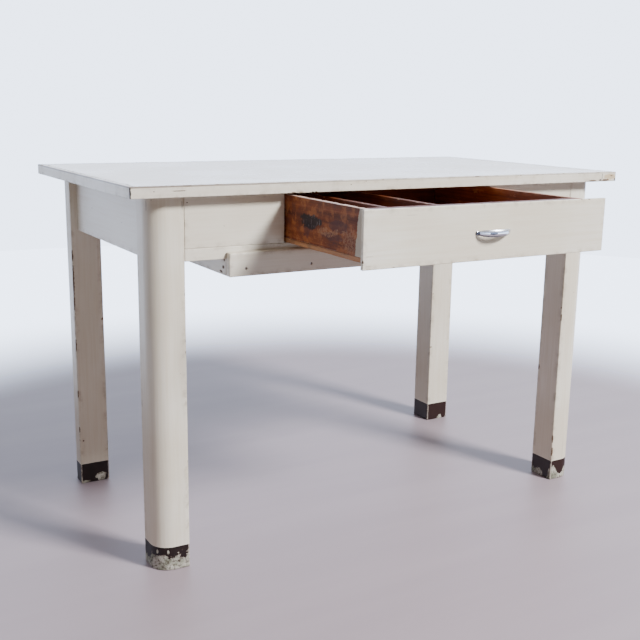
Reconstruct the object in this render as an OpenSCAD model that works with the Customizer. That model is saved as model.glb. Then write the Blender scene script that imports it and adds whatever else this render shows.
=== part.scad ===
// Painted wooden work table with one wide drawer, all sizes in millimetres.
// The origin is on the floor, at the middle of the object's box with the drawer
// part open. +X runs to the right along the front, +Y to the back and +Z up.

/* [Table] */
// Width of the top, left to right
top_w = 1200; // [1100:10:1400]
// Depth of the top, front to back
top_d = 650; // [600:10:800]
// Height of the top surface above the floor
table_h = 770; // [720:5:820]
// Thickness of the top
top_t = 22; // [18:1:30]
// Width of the solid strips glued round the top
edging_w = 12; // [8:1:20]

/* [Legs] */
// Side of the square legs
leg_w = 70; // [60:1:80]
// Radius of each leg's outer corner
leg_r = 38; // [10:1:45]
// Overhang of the top past the legs at each end
end_overhang = 44; // [30:1:60]
// Overhang of the top past the legs at the front and back
face_overhang = 29; // [20:1:50]

/* [Aprons] */
// Height of the aprons
apron_h = 124; // [118:1:130]
// Thickness of the aprons
apron_t = 20; // [18:1:25]
// Distance of the side and back aprons behind the legs' outer faces
apron_setback = 16; // [8:1:20]
// Height of the rail below the drawer opening
rail_h = 24; // [20:1:26]
// Length of each apron tenon
tenon_l = 38; // [25:1:40]
// Thickness of the tenons
tenon_t = 8; // [6:1:10]

/* [Drawer] */
// Width of the drawer box
drawer_w = 508; // [400:2:600]
// Depth of the drawer box behind the facing
drawer_d = 480; // [400:5:500]
// Distance of the drawer's middle to the right of the table's middle
drawer_x = -17; // [-60:1:60]
// Width of the facing board
facing_w = 570; // [560:1:640]
// Distance of the facing's middle to the right of the table's middle
facing_x = 6; // [0:1:10]
// Thickness of the facing board
facing_t = 8; // [6:1:12]
// Depth of the facing below the top of the rail
facing_lap = 10; // [6:1:11]
// Thickness of the drawer's sides, back and partitions
drawer_side_t = 12; // [10:1:15]
// Distance that the drawer is pulled out
drawer_open = 288; // [200:1:300]

/* [Underframe] */
// Distance from the table's middle to the outer face of each bearer
bearer_x = 401; // [380:1:430]
// Height of the bearers
bearer_h = 34; // [25:1:45]
// Thickness of the bearers
bearer_t = 20; // [15:1:30]
// Height of the batten across the front
batten_h = 47; // [40:1:47]
// Thickness of the batten
batten_t = 15; // [10:1:18]

/* [Handle] */
// Length of the bow handle
handle_l = 80; // [70:1:100]
// Height of the bow at its middle
handle_h = 15; // [10:1:20]
// Distance that the bow stands out of the facing
handle_out = 24; // [20:1:32]

/* [Hidden] */
$fn = 64;
// clearances: glued joints, screws in their holes, drawer in its opening
glue_gap = 0.1;
screw_gap = 0.1;
drawer_side_gap = 4;
drawer_lift = 0.5;
drawer_head_gap = 4.5;
// overshoot of cutting tools past the faces that they cut
eps = 1;

// table body, with the top centred on x = 0, y = 0
top_z = table_h - top_t;
leg_x = top_w / 2 - end_overhang;
leg_y = top_d / 2 - face_overhang;
leg_in_x = leg_x - leg_w;
leg_in_y = leg_y - leg_w;
apron_z = top_z - apron_h;
rail_z = apron_z + rail_h;
front_in_y = -leg_y + apron_t;
side_x = leg_x - apron_setback;
back_y = leg_y - apron_setback;

// drawer box and its opening
box_x0 = drawer_x - drawer_w / 2;
box_x1 = drawer_x + drawer_w / 2;
opening_x0 = box_x0 - drawer_side_gap;
opening_x1 = box_x1 + drawer_side_gap;
facing_y = -leg_y - facing_t - drawer_open;
box_y0 = facing_y + facing_t;
box_y1 = box_y0 + drawer_d;
bottom_t = 9;
bottom_z = rail_z + drawer_lift;
wall_z = bottom_z + bottom_t;
wall_top = top_z - drawer_head_gap;
facing_z = rail_z - facing_lap;
inner_front_t = 18;
back_drop = 10;
partition_drop = 8;
partition_x = [95, 210];

// runners, guides and stops beside the drawer
guide_t = 14;
guide_h = 40;
runner_w = guide_t + drawer_side_gap + drawer_side_t;
stop_l = 24;
stop_h = 30;
closed_box_y1 = -leg_y + drawer_d;

// batten and bearers under the aprons
bearer_z = apron_z - bearer_h;
batten_round = 4;

// tenons, with the shoulders left below and above them
low_shoulder = 12;
top_shoulder = 22;
rail_shoulder = 4;
tenon_h = apron_h - low_shoulder - top_shoulder;
tenon_z = apron_z + low_shoulder;
rail_tenon_h = rail_h - 2 * rail_shoulder;
rail_tenon_z = apron_z + rail_shoulder;
panel_tenon_h = apron_h - rail_h - low_shoulder - top_shoulder;
panel_tenon_z = rail_z + low_shoulder;

// blocks that hold the top, and their screws
block_l = 50;
block_w = 22;
screw_r = 2;
screw_head_r = 4;
screw_head_t = 3;
top_screw_bite = 14;
apron_screw_bite = 12;
top_screw_l = block_w + top_screw_bite;
apron_screw_l = block_w + apron_screw_bite;
back_block_xs = [-400, 0, 400];
front_block_xs = [-380, 380];
side_block_ys = [-120, 140];

// nails
nail_r = 1.2;
nail_head_r = 2.4;
nail_head_t = 1.2;
nail_sink = 3;
batten_nail_x0 = -366;
batten_nail_step = 145;
batten_nail_n = 6;
batten_nail_z = bearer_z + batten_t;
batten_nail_bite = 12;
bearer_nail_bite = 15;
batten_nail_l = batten_t - nail_sink + batten_nail_bite;
bearer_nail_l = bearer_h - nail_sink + bearer_nail_bite;
corner_nail_l = 22;
corner_nail_zs = [680, 705, 730];
bottom_nail_l = 20;
bottom_nail_step = 90;
bottom_nail_margin = 45;

// bow handle
handle_x = facing_x;
handle_z = (facing_z + wall_top) / 2;
bow_t = 5;
foot_l = 9;
foot_t = 3;
foot_skin = 0.5;
handle_screw_r = 2;
handle_screw_dx = handle_l / 2 - foot_l / 2;
handle_screw_l = inner_front_t + facing_t + foot_t - foot_skin;
bow_ro = (pow(handle_l / 2, 2) + pow(handle_out - foot_t, 2)) / (2 * (handle_out - foot_t));
bow_taper = 4;
bow_ri = bow_ro + bow_taper;
lens_flattening = 1.05;
lens_r = (pow(handle_l / 2, 2) + pow(handle_h / 2, 2)) / handle_h * lens_flattening;

// shift that brings the middle of the whole object's depth to y = 0
front_y = facing_y - handle_out;
shift_y = -(front_y + top_d / 2) / 2;

cream = "#e4ddcf";
stained = "#7a4428";
bare = "#b58a5e";
chrome = "#c8ccd2";
steel = "#77736d";

// Moves a piece from the table's own place to the object's origin.
module place() {
    translate([0, shift_y, 0]) children();
}

// Box from its low corner to its high corner.
module block(low, high) {
    translate(low) cube(high - low);
}

// Countersunk screw that starts at its head's face and runs along +Z.
module screw(length, shank_r = screw_r, head_r = screw_head_r, head_t = screw_head_t) {
    cylinder(h = head_t, r1 = head_r, r2 = shank_r);
    cylinder(h = length, r = shank_r);
}

// Hole for the screw above, open at the head's face.
module screw_hole(length, shank_r = screw_r, head_r = screw_head_r, head_t = screw_head_t) {
    translate([0, 0, -eps]) cylinder(h = eps + screw_gap, r = head_r + screw_gap);
    translate([0, 0, screw_gap])
        cylinder(h = head_t, r1 = head_r + screw_gap, r2 = shank_r + screw_gap);
    cylinder(h = length + screw_gap, r = shank_r + screw_gap);
}

// Flat-headed nail that starts at its head's face and runs along +Z.
module nail(length) {
    cylinder(h = nail_head_t, r = nail_head_r);
    cylinder(h = length, r = nail_r);
}

// Hole for a nail, with room above its head down to the depth it is sunk.
module nail_hole(length, sink = 0) {
    translate([0, 0, -sink - eps])
        cylinder(h = sink + eps + nail_head_t + screw_gap, r = nail_head_r + screw_gap);
    cylinder(h = length + screw_gap, r = nail_r + screw_gap);
}

// ---- top ----

module top_panel() {
    color(cream) place() difference() {
        block([-top_w / 2 + edging_w, -top_d / 2 + edging_w, top_z],
              [top_w / 2 - edging_w, top_d / 2 - edging_w, table_h]);
        top_screw_holes();
    }
}

// Mitred strip with its outer face along X at y = 0, turned to one side of the top
// (0 front, 90 right, 180 back, 270 left) that is dist from the middle.
module edging(length, dist, turn) {
    color(cream) place() rotate([0, 0, turn]) translate([0, -dist, top_z])
        linear_extrude(top_t) polygon([
            [-length / 2, 0],
            [length / 2, 0],
            [length / 2 - edging_w, edging_w],
            [-length / 2 + edging_w, edging_w]
        ]);
}

// ---- legs ----

// Section of a leg, square but for one rounded corner, with that corner at the origin.
module leg_section() {
    difference() {
        square(leg_w);
        square(leg_r);
    }
    intersection() {
        translate([leg_r, leg_r]) circle(leg_r);
        square(leg_r + eps);
    }
}

// Front left leg in place, with no mortises; mirrored it gives the other three.
module leg_blank() {
    translate([-leg_x, -leg_y, 0]) linear_extrude(top_z) leg_section();
}

// Mirrors a piece of the front left corner to the corner at sx and sy, each -1 or 1.
module mirror_to_corner(sx, sy) {
    mirror([sx > 0 ? 1 : 0, 0, 0]) mirror([0, sy > 0 ? 1 : 0, 0]) children();
}

// Leg at the corner sx, sy, with its mortises.
module leg(sx, sy) {
    color(cream) place() difference() {
        mirror_to_corner(sx, sy) leg_blank();
        if (sy < 0) front_tenons(sx, glue_gap);
        else back_tenon(sx, glue_gap);
        side_tenon(sx, sy, glue_gap);
    }
}

// ---- tenons, also used to cut their mortises with a gap ----

// Tenon along X that leaves the shoulder of a leg at side sx.
module x_tenon(sx, y, z, h, gap) {
    reach = tenon_l + gap;
    x0 = sx > 0 ? leg_in_x - (gap > 0 ? eps : 0) : -leg_in_x - reach;
    x1 = sx > 0 ? leg_in_x + reach : -leg_in_x + (gap > 0 ? eps : 0);
    block([x0, y - tenon_t / 2 - gap, z - gap], [x1, y + tenon_t / 2 + gap, z + h + gap]);
}

// Tenon along Y that leaves the shoulder of a leg at side sy.
module y_tenon(sy, x, z, h, gap) {
    reach = tenon_l + gap;
    y0 = sy > 0 ? leg_in_y - (gap > 0 ? eps : 0) : -leg_in_y - reach;
    y1 = sy > 0 ? leg_in_y + reach : -leg_in_y + (gap > 0 ? eps : 0);
    block([x - tenon_t / 2 - gap, y0, z - gap], [x + tenon_t / 2 + gap, y1, z + h + gap]);
}

module front_tenons(sx, gap) {
    y = -leg_y + apron_t / 2;
    x_tenon(sx, y, panel_tenon_z, panel_tenon_h, gap);
    x_tenon(sx, y, rail_tenon_z, rail_tenon_h, gap);
}

module back_tenon(sx, gap) {
    x_tenon(sx, back_y - apron_t / 2, tenon_z, tenon_h, gap);
}

module side_tenon(sx, sy, gap) {
    y_tenon(sy, sx * (side_x - apron_t / 2), tenon_z, tenon_h, gap);
}

// ---- aprons ----

// Part of the front apron between a leg and the drawer opening.
module front_apron(sx) {
    x0 = sx < 0 ? -leg_in_x : opening_x1;
    x1 = sx < 0 ? opening_x0 : leg_in_x;
    color(cream) place() difference() {
        union() {
            block([x0, -leg_y, rail_z], [x1, front_in_y, top_z]);
            x_tenon(sx, -leg_y + apron_t / 2, panel_tenon_z, panel_tenon_h, 0);
        }
        front_block_places() apron_screw_place() screw_hole(apron_screw_l);
    }
}

// Rail below the drawer opening, from leg to leg.
module front_rail() {
    color(cream) place() difference() {
        union() {
            block([-leg_in_x, -leg_y, apron_z], [leg_in_x, front_in_y, rail_z]);
            for (sx = [-1, 1]) x_tenon(sx, -leg_y + apron_t / 2, rail_tenon_z, rail_tenon_h, 0);
        }
        front_bearer_nail_places() nail_hole(bearer_nail_l);
    }
}

// Side apron at sx, with a screw hole for each block that holds the top.
module side_apron(sx) {
    x = sx * side_x;
    xi = sx * (side_x - apron_t);
    color(cream) place() difference() {
        union() {
            block([min(x, xi), -leg_in_y, apron_z], [max(x, xi), leg_in_y, top_z]);
            for (sy = [-1, 1]) side_tenon(sx, sy, 0);
        }
        side_block_places(sx) apron_screw_place() screw_hole(apron_screw_l);
    }
}

// Back apron, from leg to leg.
module back_apron() {
    color(cream) place() difference() {
        union() {
            block([-leg_in_x, back_y - apron_t, apron_z], [leg_in_x, back_y, top_z]);
            for (sx = [-1, 1]) back_tenon(sx, 0);
        }
        back_block_places() apron_screw_place() screw_hole(apron_screw_l);
        back_bearer_nail_places() nail_hole(bearer_nail_l);
    }
}

// ---- blocks that hold the top ----

// Places of the blocks: origin at the corner of apron and top, +Y into the apron.
module back_block_places() {
    for (x = back_block_xs) translate([x, back_y - apron_t, top_z]) children();
}

module side_block_places(sx) {
    for (y = side_block_ys)
        translate([sx * (side_x - apron_t), y, top_z]) rotate([0, 0, -90 * sx]) children();
}

module front_block_places() {
    for (x = front_block_xs) translate([x, front_in_y, top_z]) rotate([0, 0, 180]) children();
}

module all_block_places() {
    front_block_places() children();
    back_block_places() children();
    for (sx = [-1, 1]) side_block_places(sx) children();
}

// Screw that goes up through a block into the top, from the block's underside.
module top_screw_place() {
    translate([-block_l / 4, -block_w / 2, -block_w]) children();
}

// Screw that goes level through a block into the apron.
module apron_screw_place() {
    translate([block_l / 4, -block_w, -block_w / 2]) rotate([-90, 0, 0]) children();
}

module top_screw_holes() {
    all_block_places() top_screw_place() screw_hole(top_screw_l);
}

module top_blocks() {
    color(bare) place() all_block_places() difference() {
        translate([-block_l / 2, -block_w, -block_w]) cube([block_l, block_w, block_w]);
        top_screw_place() screw_hole(top_screw_l);
        apron_screw_place() screw_hole(apron_screw_l);
    }
}

module top_block_screws() {
    color(steel) place() all_block_places() {
        top_screw_place() screw(top_screw_l);
        apron_screw_place() screw(apron_screw_l);
    }
}

// ---- underframe: batten and bearers ----

// Bearer at side sx, from the batten's back to the outer face of the back apron.
module bearer(sx) {
    x = sx * bearer_x;
    xi = sx * (bearer_x - bearer_t);
    color(cream) place() difference() {
        block([min(x, xi), -leg_y, bearer_z], [max(x, xi), back_y, apron_z]);
        front_bearer_nail_places() nail_hole(bearer_nail_l, nail_sink);
        back_bearer_nail_places() nail_hole(bearer_nail_l, nail_sink);
    }
}

// Nails up through both bearers at one depth.
module bearer_nail_row(y) {
    for (sx = [-1, 1])
        translate([sx * (bearer_x - bearer_t / 2), y, bearer_z + nail_sink]) children();
}

module front_bearer_nail_places() {
    bearer_nail_row(-leg_y + apron_t / 2) children();
}

module back_bearer_nail_places() {
    bearer_nail_row(back_y - apron_t / 2) children();
}

module bearer_nails() {
    color(steel) place() {
        front_bearer_nail_places() nail(bearer_nail_l);
        back_bearer_nail_places() nail(bearer_nail_l);
    }
}

// Batten across the front, with its upper front edge rounded.
module front_batten() {
    color(cream) place() difference() {
        translate([-bearer_x, -leg_y, bearer_z]) rotate([0, 90, 0])
            linear_extrude(2 * bearer_x) batten_section();
        batten_nail_places() nail_hole(batten_nail_l, nail_sink);
    }
}

// Section of the batten in a plane whose first axis points down and second to the back.
module batten_section() {
    translate([-batten_h + batten_round, -batten_t]) square([batten_h - batten_round, batten_t]);
    translate([-batten_h, -batten_t + batten_round]) square([batten_h, batten_t - batten_round]);
    translate([-batten_h + batten_round, -batten_t + batten_round]) circle(batten_round);
}

// Strip behind the batten, between the bearers and under the front rail.
module front_cleat() {
    color(cream) place() difference() {
        block([-bearer_x + bearer_t, -leg_y, bearer_z], [bearer_x - bearer_t, front_in_y, apron_z]);
        batten_nail_places() nail_hole(batten_nail_l);
    }
}

module batten_nail_places() {
    for (i = [0 : batten_nail_n - 1])
        translate([batten_nail_x0 + i * batten_nail_step, -leg_y - batten_t + nail_sink, batten_nail_z])
            rotate([-90, 0, 0]) children();
}

module batten_nails() {
    color(steel) place() batten_nail_places() nail(batten_nail_l);
}

// ---- runners, guides and stops ----

// Outer face of a guide, which the runner below it is flush with.
function guide_outer_x(sx) = (sx < 0 ? opening_x0 : opening_x1) + sx * guide_t;

// Runner under a side of the drawer (sx = -1 left, 1 right).
module runner(sx) {
    outer = guide_outer_x(sx);
    inner = outer - sx * runner_w;
    color(bare) place()
        block([min(outer, inner), front_in_y, apron_z],
              [max(outer, inner), back_y - apron_t, rail_z]);
}

// Guide beside the drawer, standing on its runner.
module guide(sx) {
    outer = guide_outer_x(sx);
    inner = outer - sx * guide_t;
    color(bare) place()
        block([min(outer, inner), front_in_y, rail_z],
              [max(outer, inner), back_y - apron_t, rail_z + guide_h]);
}

// One stop on each runner, just behind the closed drawer.
module drawer_stops() {
    color(bare) place() for (x = [box_x0, box_x1 - drawer_side_t])
        block([x, closed_box_y1 + drawer_lift, rail_z],
              [x + drawer_side_t, closed_box_y1 + drawer_lift + stop_l, rail_z + stop_h]);
}

// ---- drawer ----

module drawer_facing() {
    color(cream) place() difference() {
        block([facing_x - facing_w / 2, facing_y, facing_z],
              [facing_x + facing_w / 2, box_y0, wall_top]);
        handle_screw_places() screw_hole(handle_screw_l);
    }
}

module drawer_inner_front() {
    color(stained) place() difference() {
        block([box_x0 + drawer_side_t, box_y0, wall_z],
              [box_x1 - drawer_side_t, box_y0 + inner_front_t, wall_top]);
        handle_screw_places() screw_hole(handle_screw_l);
        corner_nail_places() nail_hole(corner_nail_l);
    }
}

// Side of the drawer at sx, with nail holes at both its ends.
module drawer_side(sx) {
    x = sx < 0 ? box_x0 : box_x1 - drawer_side_t;
    color(stained) place() difference() {
        block([x, box_y0, wall_z], [x + drawer_side_t, box_y1, wall_top]);
        corner_nail_places() nail_hole(corner_nail_l);
        bottom_nail_places() nail_hole(bottom_nail_l);
    }
}

module drawer_back() {
    color(stained) place() difference() {
        block([box_x0 + drawer_side_t, box_y1 - drawer_side_t, wall_z],
              [box_x1 - drawer_side_t, box_y1, wall_top - back_drop]);
        corner_nail_places() nail_hole(corner_nail_l);
    }
}

module drawer_bottom() {
    color(bare) place() difference() {
        block([box_x0, box_y0, bottom_z], [box_x1, box_y1, wall_z]);
        bottom_nail_places() nail_hole(bottom_nail_l);
    }
}

// Partition number i, counted from the left, running front to back.
module partition(i) {
    x = box_x0 + partition_x[i] - drawer_side_t / 2;
    color(stained) place()
        block([x, box_y0 + inner_front_t, wall_z],
              [x + drawer_side_t, box_y1 - drawer_side_t, wall_top - partition_drop]);
}

// Nails through each side into the inner front and the back.
module corner_nail_places() {
    ys = [box_y0 + inner_front_t / 2, box_y1 - drawer_side_t / 2];
    for (sx = [-1, 1], y = ys, z = corner_nail_zs)
        translate([drawer_x + sx * drawer_w / 2, y, z]) rotate([0, -90 * sx, 0]) children();
}

module drawer_corner_nails() {
    color(steel) place() corner_nail_places() nail(corner_nail_l);
}

// Nails up through the bottom into the sides.
module bottom_nail_places() {
    ys = [box_y0 + bottom_nail_margin : bottom_nail_step : box_y1 - bottom_nail_margin];
    for (sx = [-1, 1], y = ys)
        translate([drawer_x + sx * (drawer_w - drawer_side_t) / 2, y, bottom_z]) children();
}

module drawer_bottom_nails() {
    color(steel) place() bottom_nail_places() nail(bottom_nail_l);
}

// ---- handle ----

// Bow between two feet: a crescent seen from above, a lens seen from the front.
module drawer_handle() {
    color(chrome) place() translate([handle_x, facing_y, handle_z]) difference() {
        union() {
            bow();
            for (sx = [-1, 1]) translate([sx * handle_screw_dx, -foot_t / 2, 0])
                cube([foot_l, foot_t, handle_h / 2], center = true);
        }
        handle_screw_holes();
    }
}

// The bow is the lens-shaped part of a crescent whose ends rest on the facing.
module bow() {
    intersection() {
        translate([0, 0, -handle_h / 2]) linear_extrude(handle_h) crescent();
        rotate([90, 0, 0]) linear_extrude(handle_out) lens();
    }
}

module crescent() {
    intersection() {
        difference() {
            translate([0, bow_ro - handle_out]) circle(bow_ro, $fn = 180);
            translate([0, bow_ri - handle_out + bow_t]) circle(bow_ri, $fn = 180);
        }
        translate([-handle_l / 2, -handle_out]) square([handle_l, handle_out]);
    }
}

module lens() {
    intersection_for(s = [-1, 1])
        translate([0, s * (lens_r - handle_h / 2)]) circle(lens_r, $fn = 180);
}

// Screws from inside the drawer into the handle's feet.
module handle_screw_places() {
    for (sx = [-1, 1]) translate([handle_x + sx * handle_screw_dx, box_y0 + inner_front_t, handle_z])
        rotate([90, 0, 0]) children();
}

module handle_screw_holes() {
    for (sx = [-1, 1]) translate([sx * handle_screw_dx, eps, 0]) rotate([90, 0, 0])
        cylinder(h = foot_t - foot_skin + eps + screw_gap, r = handle_screw_r + screw_gap);
}

module handle_screws() {
    color(steel) place() handle_screw_places() screw(handle_screw_l);
}

top_panel();
edging(top_w, top_d / 2, 0);  // top_edging_front
edging(top_w, top_d / 2, 180);  // top_edging_back
edging(top_d, top_w / 2, 270);  // top_edging_left
edging(top_d, top_w / 2, 90);  // top_edging_right
leg(-1, -1);  // leg_front_left
leg(1, -1);  // leg_front_right
leg(-1, 1);  // leg_back_left
leg(1, 1);  // leg_back_right
front_apron(-1);  // front_apron_left
front_apron(1);  // front_apron_right
front_rail();
side_apron(-1);  // side_apron_left
side_apron(1);  // side_apron_right
back_apron();
top_blocks();
top_block_screws();
bearer(-1);  // bearer_left
bearer(1);  // bearer_right
front_batten();
front_cleat();
batten_nails();
bearer_nails();
runner(-1);  // runner_left
runner(1);  // runner_right
guide(-1);  // guide_left
guide(1);  // guide_right
drawer_stops();
drawer_facing();
drawer_inner_front();
drawer_side(-1);  // drawer_side_left
drawer_side(1);  // drawer_side_right
drawer_back();
drawer_bottom();
partition(0);  // partition_left
partition(1);  // partition_middle
drawer_corner_nails();
drawer_bottom_nails();
drawer_handle();
handle_screws();
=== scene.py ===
import math

import bpy
import numpy as np
from mathutils import Matrix, Vector


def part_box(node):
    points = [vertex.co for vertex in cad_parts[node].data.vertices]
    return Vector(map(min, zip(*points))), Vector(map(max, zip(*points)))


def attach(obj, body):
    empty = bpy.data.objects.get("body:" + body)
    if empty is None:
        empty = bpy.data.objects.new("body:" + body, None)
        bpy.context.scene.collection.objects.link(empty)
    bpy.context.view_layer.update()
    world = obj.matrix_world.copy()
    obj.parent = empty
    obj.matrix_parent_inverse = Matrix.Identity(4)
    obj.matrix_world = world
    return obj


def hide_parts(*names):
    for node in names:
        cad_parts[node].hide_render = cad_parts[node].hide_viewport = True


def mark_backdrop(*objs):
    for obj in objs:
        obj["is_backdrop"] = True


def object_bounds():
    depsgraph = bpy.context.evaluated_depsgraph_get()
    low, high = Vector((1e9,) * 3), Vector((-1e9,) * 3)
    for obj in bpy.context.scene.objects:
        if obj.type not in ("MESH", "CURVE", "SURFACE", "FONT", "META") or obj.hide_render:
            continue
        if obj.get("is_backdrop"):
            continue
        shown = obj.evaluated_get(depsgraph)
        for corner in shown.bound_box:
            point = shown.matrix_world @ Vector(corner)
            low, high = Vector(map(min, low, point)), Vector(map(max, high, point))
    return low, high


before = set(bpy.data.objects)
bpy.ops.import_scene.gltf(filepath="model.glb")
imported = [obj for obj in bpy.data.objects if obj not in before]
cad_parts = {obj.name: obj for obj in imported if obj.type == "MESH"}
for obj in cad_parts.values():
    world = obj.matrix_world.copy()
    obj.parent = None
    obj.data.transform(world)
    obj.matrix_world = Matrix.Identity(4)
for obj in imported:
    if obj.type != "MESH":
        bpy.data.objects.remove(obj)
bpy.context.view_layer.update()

MM = 0.001

# ---- repeatable noise --------------------

PRIMES = (374761393, 668265263, 1442695041, 1274126177)
STIR = 1103515245
WORD, HALF_WORD = 0xFFFFFFFF, 0xFFFF


def lattice(i, j, k, seed):
    """A repeatable number from 0 to 1 for each lattice point."""
    n = sum(value * prime for value, prime in zip((i, j, k, seed), PRIMES)) & WORD
    n = ((n ^ (n >> 13)) * STIR) & WORD
    n = ((n ^ (n >> 15)) * PRIMES[0]) & WORD
    return ((n ^ (n >> 16)) & HALF_WORD) / HALF_WORD


def noise(points, size, seed):
    """Smooth noise from -1 to 1 whose features are about size across (one number or x, y, z)."""
    p = np.asarray(points, float) / np.asarray(size, float)
    cell = np.floor(p).astype(np.int64)
    f = p - cell
    f = f * f * (3 - 2 * f)
    total = np.zeros(len(p))
    for corner in range(8):
        step = np.array([corner & 1, corner >> 1 & 1, corner >> 2 & 1])
        weight = np.prod(np.where(step, f, 1 - f), axis=1)
        at = cell + step
        total += weight * lattice(at[:, 0], at[:, 1], at[:, 2], seed)
    return total * 2 - 1


def smooth(value, low, high):
    """0 below low, 1 above high and a smooth step between."""
    t = np.clip((value - low) / (high - low), 0, 1)
    return t * t * (3 - 2 * t)


# ---- meshes ------------------------------

TOUCHING = 1e-7  # nearer than this counts as on a face
PIT_LINES = (-1.35, -1, -0.8, -0.5, 0, 0.5, 0.8, 1, 1.35)  # mesh lines round a pit, in its radius
CHIP_ACROSS, CHIP_ALONG, CHIP_SPREAD = 7 * MM, 16 * MM, 110 * MM
SHARP_BELOW = 10 * MM  # corners with a larger radius don't chip
LEG_ROUND, LEG_ARRIS, LEG_END = 38 * MM, 2 * MM, 2.5 * MM
LEG_AROUND, LEG_LEVELS = 7 * MM, 5 * MM  # mesh spacing
APRON_FROM, APRON_TO = 600 * MM, 640 * MM  # heights over which the legs' chips fade out


def mesh_piece(name, verts, faces, attributes, material):
    """A new object from vertices, faces and point attributes (numbers or vectors)."""
    mesh = bpy.data.meshes.new(name)
    mesh.from_pydata([tuple(v) for v in verts], [], faces)
    mesh.validate()
    for key, values in attributes.items():
        values = np.asarray(values, np.float32)
        if values.ndim == 1:
            layer = mesh.attributes.new(key, "FLOAT", "POINT")
            layer.data.foreach_set("value", values)
        else:
            layer = mesh.attributes.new(key, "FLOAT_VECTOR", "POINT")
            layer.data.foreach_set("vector", values.ravel())
    mesh.polygons.foreach_set("use_smooth", [True] * len(mesh.polygons))
    mesh.materials.append(material)
    piece = bpy.data.objects.new(name, mesh)
    bpy.context.scene.collection.objects.link(piece)
    return piece


def install(piece, body, node):
    """Lets a piece ride on its body and stand for a CAD node, whose own mesh is hidden."""
    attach(piece, body)
    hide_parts(node)


def spaced(length, radius, step, extra=()):
    """Distances along a side: close together round its edges, then about step apart."""
    near = [0.0, 0.35 * radius, radius]
    if length > 12 * radius:
        near += [2 * radius, 4 * radius]
    inner = length - 2 * near[-1]
    count = max(1, round(inner / step))
    middle = [near[-1] + inner * i / count for i in range(1, count)]
    lines = near + middle + [length - d for d in near]
    for centre, reach in extra:
        lines += [centre + reach * share for share in PIT_LINES]
    lines = sorted(d for d in lines if 0 <= d <= length)
    kept = [lines[0]]
    for d in lines[1:]:
        if d - kept[-1] > 0.1 * MM:
            kept.append(d)
    kept[-1] = length
    return np.array(kept)


def box_grid(axes):
    """Vertices and quads of a box's surface, with a line at each coordinate in axes."""
    last = [len(a) - 1 for a in axes]
    index, verts, faces = {}, [], []

    def vertex(place):
        if place not in index:
            index[place] = len(verts)
            verts.append([axes[n][place[n]] for n in range(3)])
        return index[place]

    for n in range(3):
        a, b = (n + 1) % 3, (n + 2) % 3
        for end in (0, last[n]):
            for i in range(last[a]):
                for j in range(last[b]):
                    quad = []
                    for di, dj in ((0, 0), (1, 0), (1, 1), (0, 1)):
                        place = [0, 0, 0]
                        place[n], place[a], place[b] = end, i + di, j + dj
                        quad.append(vertex(tuple(place)))
                    faces.append(quad if end else quad[::-1])
    return np.array(verts), faces


def rounded(points, low, high, radius):
    """Points of a box's surface moved onto the box with edges rounded by each point's radius."""
    r = radius[:, None]
    inner = np.clip(points, low + r, high - r)
    away = points - inner
    length = np.linalg.norm(away, axis=1)
    return inner + away * (radius / np.maximum(length, 1e-9))[:, None]


def wear(points, edge, seed, amount, along):
    """Edge chips from 0 to 1 for points that are edge away from the nearest edge."""
    stretch = np.full(3, CHIP_ACROSS)
    stretch[along] = CHIP_ALONG
    rough = 0.6 * noise(points, stretch, seed) + 0.4 * noise(points, stretch / 3, seed + 1)
    spread = noise(points, CHIP_SPREAD, seed + 2)
    chips = smooth(rough + 0.25 * spread + 0.5 * amount, 0.56, 0.72)
    return chips * (1 - smooth(edge, 1.2 * MM, 3.2 * MM))


def grain_of(points, along, seed):
    """Coordinates with the grain's direction first, moved so that pieces differ."""
    order = [along] + [n for n in range(3) if n != along]
    return points[:, order] + np.array([0.37, 0.11, 0.23]) * (seed % 17)


def quads(low_row, high_row):
    """Quads between two closed rows of vertex numbers."""
    count = len(low_row)
    return [[low_row[i], low_row[(i + 1) % count], high_row[(i + 1) % count], high_row[i]]
            for i in range(count)]


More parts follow.
